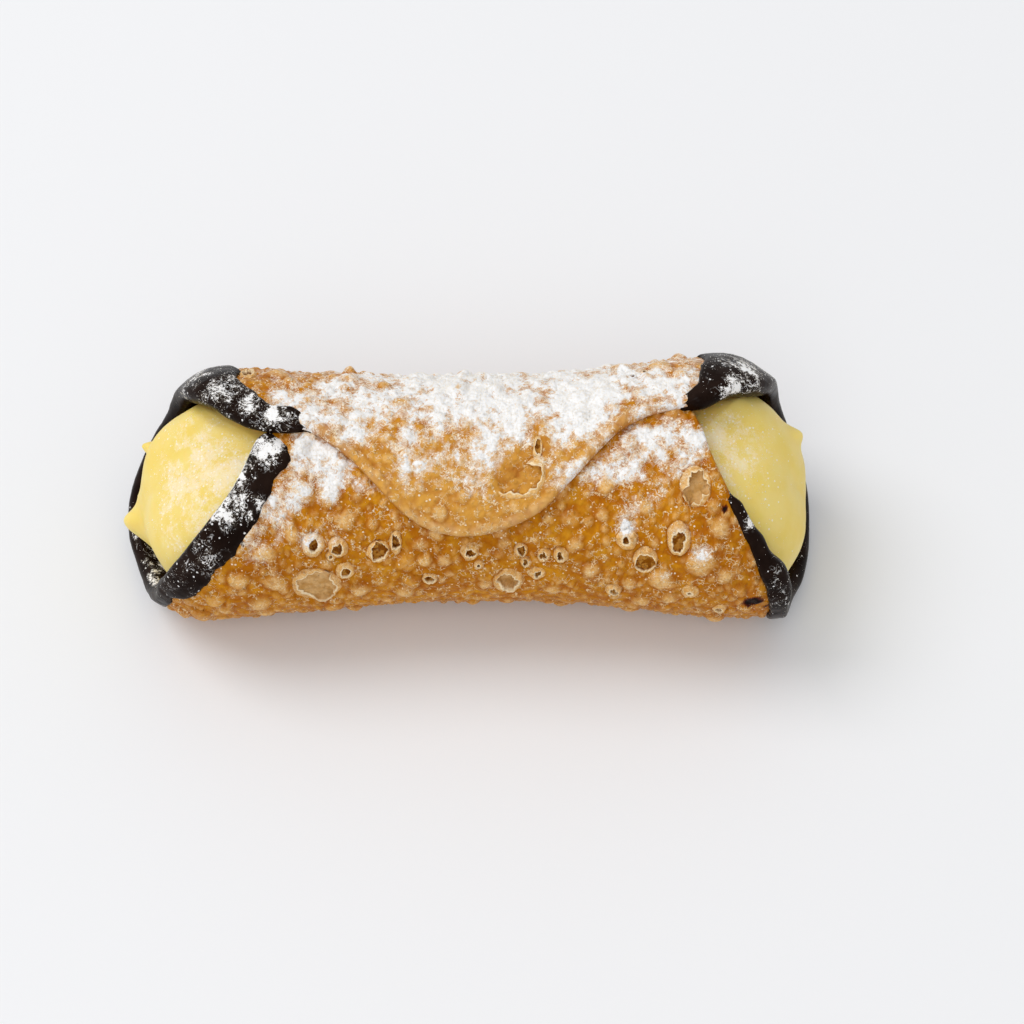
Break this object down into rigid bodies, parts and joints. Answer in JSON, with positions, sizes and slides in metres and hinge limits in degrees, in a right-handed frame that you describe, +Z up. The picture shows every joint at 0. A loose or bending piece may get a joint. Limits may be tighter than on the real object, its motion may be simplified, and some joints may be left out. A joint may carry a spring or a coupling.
{
  "type": "cannoli",
  "caption": "Fried pastry sheet wrapped into a tube with a pointed flap, its ends dipped in chocolate, filled with pastry cream that swells out of both ends.",
  "frame": {"origin": "middle of the bounding box, on the floor it rests on", "axes": "+X along the tube, -Y towards the side that the flap points to, +Z up"},
  "size_m": [0.124, 0.0456, 0.0458],
  "materials": {
    "crust": "fried, blistered, dusted with icing sugar",
    "cream": "smooth and moist",
    "chocolate": "satin",
    "sugar": "icing sugar, powder and small lumps"
  },
  "bodies": {
    "root": {"shell": "crust", "cream": "cream", "chocolate_left": "chocolate", "chocolate_right": "chocolate"}
  },
  "joints": []
}
